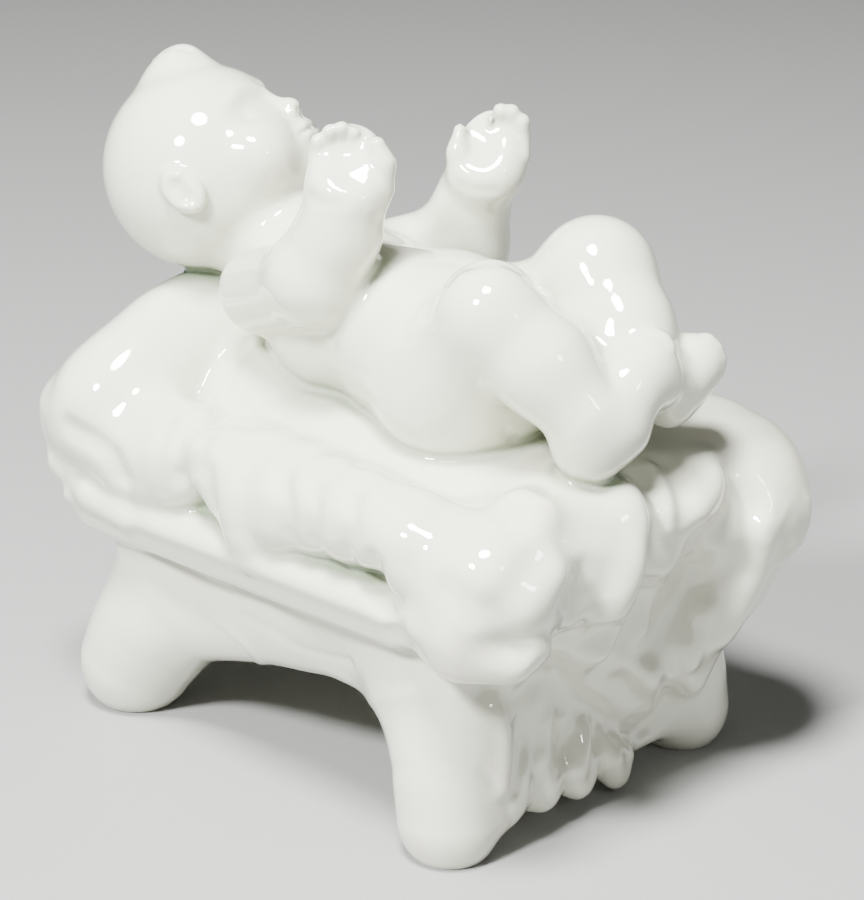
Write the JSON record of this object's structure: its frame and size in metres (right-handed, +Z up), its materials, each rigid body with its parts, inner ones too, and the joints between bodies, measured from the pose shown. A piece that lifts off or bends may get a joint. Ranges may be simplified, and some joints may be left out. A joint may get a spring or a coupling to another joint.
{
  "type": "nativity infant figurine on a manger",
  "caption": "White glazed porcelain figurine of an infant lying on its back, hands raised, on straw over a low four-footed manger.",
  "frame": {"origin": "centre of the bounding box in plan, on the ground under the four feet", "axes": "+X from the infant's head to its feet, +Z up, so -Y is the long side that the infant's right hand is on"},
  "size_m": [0.1258, 0.0898, 0.1157],
  "materials": {
    "glazed_porcelain": "white porcelain under a thick, clear, glossy glaze"
  },
  "bodies": {
    "root": {"infant_on_manger": "glazed_porcelain"}
  },
  "joints": []
}
